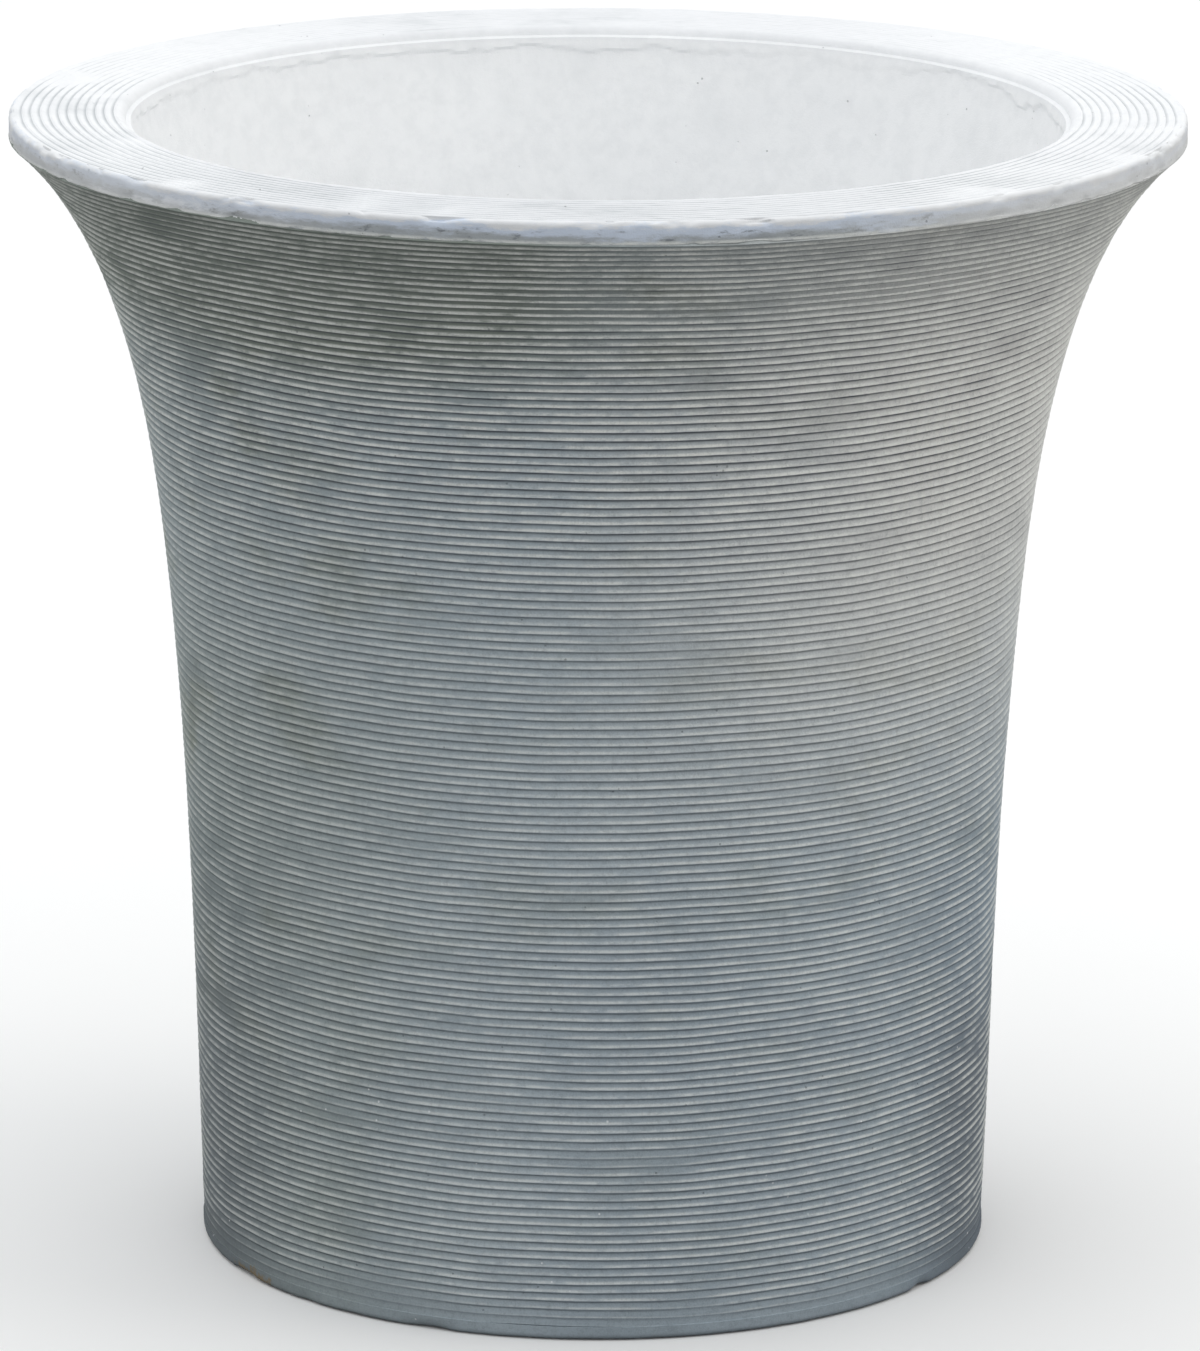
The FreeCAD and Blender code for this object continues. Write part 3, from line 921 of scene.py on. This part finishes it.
def lip_colour(tree, place, colours, base):
    """The lip: blue-grey under its pale top, grey down to a ragged pale arris, and paler at the sides, most
    on the right, as painted light with some wear in patches.
    """
    axes = tree.axes(place)
    drop = tree.smooth(axes["Z"], SHELL_HIGH.z, SHELL_HIGH.z - LIP_DEPTH)
    patches = tree.noise(tree.stretched(place, (14.0, 14.0, 90.0)), 1.0, 5.0, 0.62)
    ragged = tree.noise(tree.stretched(place, (75.0, 75.0, 220.0)), 1.0, 5.0, 0.7)
    depth = tree.plus(
        drop,
        tree.smooth(patches, 0.25, 0.75, -0.2, 0.36),
        tree.smooth(ragged, 0.25, 0.75, -0.16, 0.16),
    )
    body = tree.mix(tree.smooth(depth, 0.1, 0.42), base, colours.lip_blue)
    body = tree.mix(tree.smooth(depth, 0.48, 1.0), body, colours.lip_grey)
    pits = tree.times(tree.smooth(ragged, 0.56, 0.68), tree.smooth(depth, 0.3, 0.7, 0.0, 0.6))
    body = tree.mix(pits, body, colours.dirt_and_shade)
    edge = tree.times(tree.smooth(drop, 0.86, 0.97), tree.smooth(ragged, 0.36, 0.55, 0.1, 0.65))
    body = tree.mix(edge, body, colours.chalk_and_highlight)
    # Painted light: the lip is paler at the sides, most on the right, with some worn patches
    rubbed_and_lit = tree.times(
        tree.smooth(tree.size_of(axes["X"]), 0.12, 0.32),
        tree.smooth(patches, 0.65, 0.4, 0.3, 0.9),
        tree.smooth(ragged, 0.62, 0.42, 0.4, 1.0),
    )
    rubbed_and_lit = tree.maths("MAXIMUM", rubbed_and_lit, tree.smooth(axes["X"], 0.1, 0.32, 0.0, 0.78))
    rubbed_and_lit = tree.maths("MAXIMUM", rubbed_and_lit, tree.smooth(axes["X"], -0.12, -0.32, 0.0, 0.5))
    return tree.mix(tree.attribute("lip"), base, tree.mix(rubbed_and_lit, body, base))


def cement_material(colours):
    name = "cast_cement"
    if name in bpy.data.materials:
        return bpy.data.materials[name]
    material, tree, shader = new_material(name)
    place = tree.place()
    grain = tree.add("ShaderNodeGroup", node_tree=grain_group())
    tree.feed(grain.inputs["Vector"], place)
    tree.feed(grain.inputs["Pinholes"], 0.8)
    stain = tree.attribute("stain")
    outside = foot_colour(tree, place, colours, wall_colour(tree, place, colours, grain.outputs["Grain"]))
    inside = lip_colour(tree, place, colours, pale_colour(tree, place, colours))
    body = tree.mix(stain, inside, outside)
    body = tree.mix(tree.times(grain.outputs["Holes"], 0.5), body, colours.dirt_and_shade)
    tree.feed(shader.inputs["Base Color"], body)
    tree.feed(shader.inputs["Roughness"], tree.smooth(grain.outputs["Grain"], 0.3, 0.7, 0.82, 0.96))
    shader.inputs["Specular IOR Level"].default_value = 0.3
    bump(tree, shader, grain.outputs["Height"], 0.5, 0.0008)
    return material


def fitting_material(name, colours, base, dust_amount, roughness, metallic=0.0, worn=None):
    """A plain fitting with dust on it and, where it is given, a second colour where it is worn."""
    material, tree, shader = new_material(name)
    place = tree.place()
    dust = tree.add("ShaderNodeGroup", node_tree=dust_group())
    tree.feed(dust.inputs["Vector"], place)
    tree.feed(dust.inputs["Amount"], dust_amount)
    body = base
    if worn is not None:
        patches = tree.noise(place, 140.0, 5.0, 0.65)
        body = tree.mix(tree.smooth(patches, 0.45, 0.62, 0.0, 0.9), base, worn)
    body = tree.mix(dust.outputs["Mask"], body, colours.dust)
    tree.feed(shader.inputs["Base Color"], body)
    rough = tree.smooth(dust.outputs["Mask"], 0.0, 0.8, roughness, 0.9)
    tree.feed(shader.inputs["Roughness"], rough)
    if metallic:
        tree.feed(shader.inputs["Metallic"], tree.smooth(dust.outputs["Mask"], 0.0, 0.6, metallic, 0.0))
    bump(tree, shader, dust.outputs["Scuff"], 0.15, 0.0003)
    return material


# Operators
class PLANTER_OT_ribbed_wall(Operator):
    """Turn the fluted outside wall and blur its flutes as a cast one's are"""

    bl_idname = "planter.ribbed_wall"
    bl_label = "Ribbed wall"

    def execute(self, context):
        form, wear = context.scene.planter_form, context.scene.planter_wear
        bm = spun(wall_outline(form), form.wall_segments)
        weathered(bm, form, wear)
        cement = cement_material(context.scene.planter_colours)
        piece_from(bm, "ribbed_wall", POT, "cast_shell", cement, WALL_SHARP)
        return {"FINISHED"}


class PLANTER_OT_rim(Operator):
    """Turn the lip, the fluted rim and the mouth with its ragged film"""

    bl_idname = "planter.rim"
    bl_label = "Rim"

    def execute(self, context):
        form, wear = context.scene.planter_form, context.scene.planter_wear
        bm = spun(rim_outline(form), form.rim_segments)
        weathered(bm, form, wear)
        cement = cement_material(context.scene.planter_colours)
        piece_from(bm, "rim", POT, "cast_shell", cement, RIM_SHARP)
        return {"FINISHED"}


class PLANTER_OT_bowl_and_foot(Operator):
    """Turn the inside wall, floor and foot, and cut the pockets and weep channels"""

    bl_idname = "planter.bowl_and_foot"
    bl_label = "Bowl and foot"

    def execute(self, context):
        form, wear = context.scene.planter_form, context.scene.planter_wear
        bm = spun(bowl_outline(form), form.bowl_segments)
        weathered(bm, form, wear)
        cement = cement_material(context.scene.planter_colours)
        piece = piece_from(bm, "bowl_and_foot", POT, "cast_shell", cement, BOWL_SHARP)
        cut_away(piece, self.cutters(form))
        piece.data.set_sharp_from_angle(angle=math.radians(BOWL_SHARP))
        self.finish_cuts(form, piece.data)
        return {"FINISHED"}

    def finish_cuts(self, form, mesh):
        """Gives what is cut in the floor the floor's finish, and the channels the foot's."""
        stain = mesh.attributes["stain"].data
        for vert in mesh.vertices:
            x, y, z = vert.co
            if z > form.recess_depth and math.hypot(x, y) < form.foot_radius - form.foot_ring:
                stain[vert.index].value = 0.0
            elif z <= form.weep_radius and abs(y) <= form.weep_radius:
                stain[vert.index].value = 1.0

    def cutters(self, form):
        """A stepped hole for each socket and its pocket, and the channels under the foot."""
        bm = bmesh.new()
        for name in SOCKETS:
            low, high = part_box(name)
            radius = (high.x - low.x) / 2
            pocket, top = radius + form.pocket_margin, high.z + form.floor_height
            outline = [(0, low.z), (radius, low.z), (radius, high.z), (pocket, high.z)]
            outline += [(pocket, top), (0, top)]
            hole = turned([at(*corner) for corner in outline], HOLE_SEGMENTS, False)
            bmesh.ops.translate(hole, verts=hole.verts, vec=middle(low, high))
            hole_mesh = bpy.data.meshes.new("hole")
            hole.to_mesh(hole_mesh)
            hole.free()
            bm.from_mesh(hole_mesh)
            bpy.data.meshes.remove(hole_mesh)
        reach = 2 * form.foot_radius
        for side in (-1, 1):
            place = at(side * (form.foot_radius - form.foot_ring + reach / 2 - form.skin), 0)
            bmesh.ops.create_cone(
                bm, cap_ends=True, segments=CHANNEL_SEGMENTS, depth=reach,
                radius1=form.weep_radius, radius2=form.weep_radius,
                matrix=Matrix.Translation(place) @ Matrix.Rotation(math.pi / 2, 4, "Y"),
            )
        mesh = bpy.data.meshes.new("cutters")
        bm.to_mesh(mesh)
        bm.free()
        return mesh


class PLANTER_OT_drain_sleeve(Operator):
    """Turn the plastic sleeve that lines the drain"""

    bl_idname = "planter.drain_sleeve"
    bl_label = "Drain sleeve"

    def execute(self, context):
        form, fit = context.scene.planter_form, context.scene.planter_fittings
        colours = context.scene.planter_colours
        plastic = fitting_material("drain_plastic", colours, colours.plastic, 0.55, 0.55)
        bm = turned(self.outline(form, fit), fit.segments, True)
        piece_from(bm, "drain_sleeve_turned", POT, "drain_sleeve", plastic, FITTING_SHARP)
        return {"FINISHED"}

    def outline(self, form, fit):
        """A collar at the top, a flange half way down and a step inside for the plug."""
        top, foot, collar = SLEEVE_HIGH.z, SLEEVE_LOW.z, SLEEVE_HIGH.x
        outer = fit.seat_radius + fit.sleeve_wall
        under_collar = top - form.collar_thickness
        half_way = (top + foot + fit.drip_length) / 2
        high, low = half_way + fit.flange_thickness / 2, half_way - fit.flange_thickness / 2
        flange = outer + fit.flange_width
        seat = top - fit.seat_depth
        outline = [(collar, top), (collar, under_collar), (outer, under_collar), (outer, high)]
        outline += [(flange, high), (flange, low), (outer, low), (outer, foot)]
        outline += [(fit.outlet_radius, foot), (fit.outlet_radius, seat)]
        outline += [(fit.seat_radius, seat), (fit.seat_radius, top)]
        return eased(outline, fit.easing, True)


class PLANTER_OT_drain_plug(Operator):
    """Turn the rubber plug that closes the drain"""

    bl_idname = "planter.drain_plug"
    bl_label = "Drain plug"

    def execute(self, context):
        fit, colours = context.scene.planter_fittings, context.scene.planter_colours
        rubber = fitting_material("plug_rubber", colours, colours.rubber, 0.35, 0.6)
        bm = turned(self.outline(fit), fit.segments, False)
        piece_from(bm, "drain_plug_turned", PLUG, "drain_plug", rubber, FITTING_SHARP)
        return {"FINISHED"}

    def outline(self, fit):
        """A tapered stem, a head that laps over the seat, and a knob on a waist."""
        top, foot, head = PLUG_HIGH.z, PLUG_LOW.z, PLUG_HIGH.x
        seat = SLEEVE_HIGH.z
        head_top = seat + fit.head_thickness
        knob = head_top + fit.waist_height
        lower = [(0.0, foot), (fit.stem_radius - fit.stem_taper, foot), (fit.stem_radius, seat)]
        lower += [(head, seat), (head, head_top), (fit.waist_radius, head_top), (fit.waist_radius, knob)]
        upper = [(fit.waist_radius, knob), (fit.knob_radius, knob), (fit.knob_radius, top), (0.0, top)]
        return eased(lower, fit.easing, False) + eased(upper, fit.knob_easing, False)[1:]


class PLANTER_OT_lifting_sockets(Operator):
    """Turn the threaded sockets that the pot is lifted by"""

    bl_idname = "planter.lifting_sockets"
    bl_label = "Lifting sockets"

    def execute(self, context):
        fit, colours = context.scene.planter_fittings, context.scene.planter_colours
        zinc = fitting_material("socket_zinc", colours, colours.zinc, 0.45, 0.4, 0.9)
        for name in SOCKETS:
            low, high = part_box(name)
            bm = turned(self.outline(fit, low, high), fit.segments, False)
            bmesh.ops.translate(bm, verts=bm.verts, vec=middle(low, high))
            piece_from(bm, name + "_turned", POT, name, zinc, FITTING_SHARP)
        return {"FINISHED"}

    def outline(self, fit, low, high):
        """A round socket with a blind bore and the turns of its thread."""
        radius, bore = (high.x - low.x) / 2, fit.bore_radius
        foot = high.z - fit.bore_depth
        outline = [(0.0, low.z), (radius, low.z), (radius, high.z)]
        outline += [(bore, high.z), (bore, high.z - fit.thread_pitch)]
        turns = int(fit.bore_depth / fit.thread_pitch) - 1
        for index in reversed(range(turns)):
            z = foot + (index + 0.5) * fit.thread_pitch
            outline += [(bore + fit.thread_depth, z + fit.thread_pitch / 2), (bore, z)]
        outline += [(bore, foot), (0.0, foot)]
        return [at(*corner) for corner in outline]


class PLANTER_OT_cage(Operator):
    """Give the bars, hoops and pins in the concrete their finish"""

    bl_idname = "planter.cage"
    bl_label = "Cage"

    def execute(self, context):
        colours = context.scene.planter_colours
        steel = fitting_material("bar_steel", colours, colours.steel, 0.3, 0.6, 0.7, colours.rust)
        for name in CAGE:
            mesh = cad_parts[name].data
            mesh.materials.clear()
            mesh.materials.append(steel)
        return {"FINISHED"}


class PLANTER_OT_stage(Operator):
    """Set the floor, the light and the camera"""

    bl_idname = "planter.stage"
    bl_label = "Stage"

    def execute(self, context):
        stage = context.scene.planter_stage
        context.scene.view_settings.view_transform = "Standard"
        self.floor(context, stage)
        self.world(context, stage)
        self.lamp(context, stage)
        self.camera(context, stage)
        return {"FINISHED"}

    def floor(self, context, stage):
        bm = bmesh.new()
        bmesh.ops.create_grid(bm, x_segments=1, y_segments=1, size=stage.floor_size / 2)
        bmesh.ops.translate(bm, verts=bm.verts, vec=UP * -stage.floor_gap)
        mesh = bpy.data.meshes.new("studio_floor")
        bm.to_mesh(mesh)
        bm.free()
        mesh.materials.append(self.floor_material(stage))
        floor = bpy.data.objects.new("studio_floor", mesh)
        context.scene.collection.objects.link(floor)

    def seen(self, tree):
        """1 for rays that show the background, straight or in a reflection, and 0 for those that light."""
        rays = tree.add("ShaderNodeLightPath").outputs
        shown = tree.plus(rays["Is Camera Ray"], rays["Is Glossy Ray"])
        return tree.maths("ADD", shown, rays["Is Transmission Ray"], clamp=True)

    def floor_material(self, stage):
        """White where it is seen, with its shadow kept, and duller in the light that it throws back."""
        material, tree, shader = new_material("studio_white")
        shown = self.seen(tree)
        body = tree.mix(shown, (stage.bounce,) * 3, (stage.floor_white,) * 3)
        tree.feed(shader.inputs["Base Color"], body)
        shader.inputs["Roughness"].default_value = 1.0
        shader.inputs["Specular IOR Level"].default_value = 0.0
        return material

    def world(self, context, stage):
        """Light from all round, brightest overhead and held off low at both sides, with white behind."""
        world = bpy.data.worlds.new("studio")
        context.scene.world = world
        world.use_nodes = True
        tree = Tree(world.node_tree)
        axes = tree.axes(tree.add("ShaderNodeTexCoord").outputs["Generated"])
        x, y, z = (axes[name] for name in "XYZ")
        level = tree.plus(tree.times(z, stage.ceiling - stage.horizon), stage.horizon)
        side = tree.plus(tree.times(x, stage.lopsided), tree.times(y, stage.backlight), 1.0)
        held = tree.times(x, x, tree.smooth(z, 0.7, 0.0, 0.0, stage.flags))
        light = tree.times(level, side, tree.maths("SUBTRACT", 1.0, held))
        shown = self.seen(tree)
        inputs = {"Factor": shown, 2: light, 3: 1.0}
        strength = tree.add("ShaderNodeMix", inputs, data_type="FLOAT").outputs[0]
        background = world.node_tree.nodes["Background"]
        tree.feed(background.inputs["Color"], tree.mix(shown, stage.dome_tint, (1.0, 1.0, 1.0)))
        tree.feed(background.inputs["Strength"], strength)

    def lamp(self, context, stage):
        """A square softbox that faces the pot."""
        light = bpy.data.lights.new("side_softbox", "AREA")
        light.energy = stage.side_power
        light.size = stage.side_size
        light.color = stage.side_tint
        lamp = bpy.data.objects.new("side_softbox", light)
        lamp.location = stage.side_place
        aim = UP * stage.side_aim - Vector(stage.side_place)
        lamp.rotation_euler = aim.to_track_quat("-Z", "Y").to_euler()
        context.scene.collection.objects.link(lamp)

    def camera(self, context, stage):
        data = bpy.data.cameras.new("camera")
        data.sensor_fit = "VERTICAL"
        data.sensor_height = 36.0
        data.lens = stage.focal_pixels * data.sensor_height / stage.picture_height
        camera = bpy.data.objects.new("camera", data)
        pitch = Matrix.Rotation(math.pi / 2 - stage.camera_pitch, 4, "X")
        roll = Matrix.Rotation(stage.camera_roll, 4, "Z")
        camera.matrix_world = Matrix.Translation(Vector(stage.camera_place)) @ pitch @ roll
        context.scene.collection.objects.link(camera)
        context.scene.camera = camera


class PLANTER_PT_sidebar(Panel):
    """Lists the planter's pieces"""

    bl_label = "Planter"
    bl_idname = "PLANTER_PT_sidebar"
    bl_space_type = "VIEW_3D"
    bl_region_type = "UI"
    bl_category = "Planter"

    def draw(self, context):
        for operator in OPERATORS:
            self.layout.operator(operator.bl_idname)


GROUPS = {
    "planter_form": PlanterForm,
    "planter_fittings": PlanterFittings,
    "planter_wear": PlanterWear,
    "planter_colours": PlanterColours,
    "planter_stage": PlanterStage,
}
OPERATORS = (
    PLANTER_OT_ribbed_wall,
    PLANTER_OT_rim,
    PLANTER_OT_bowl_and_foot,
    PLANTER_OT_drain_sleeve,
    PLANTER_OT_drain_plug,
    PLANTER_OT_lifting_sockets,
    PLANTER_OT_cage,
    PLANTER_OT_stage,
)


def register():
    for cls in (*GROUPS.values(), *OPERATORS, PLANTER_PT_sidebar):
        bpy.utils.register_class(cls)
    for name, group in GROUPS.items():
        setattr(bpy.types.Scene, name, PointerProperty(type=group))


def unregister():
    for name in GROUPS:
        delattr(bpy.types.Scene, name)
    for cls in (PLANTER_PT_sidebar, *reversed(OPERATORS), *reversed(GROUPS.values())):
        bpy.utils.unregister_class(cls)


def main():
    register()
    for operator in OPERATORS:
        group, name = operator.bl_idname.split(".")
        getattr(getattr(bpy.ops, group), name)()


if __name__ == "__main__":
    main()
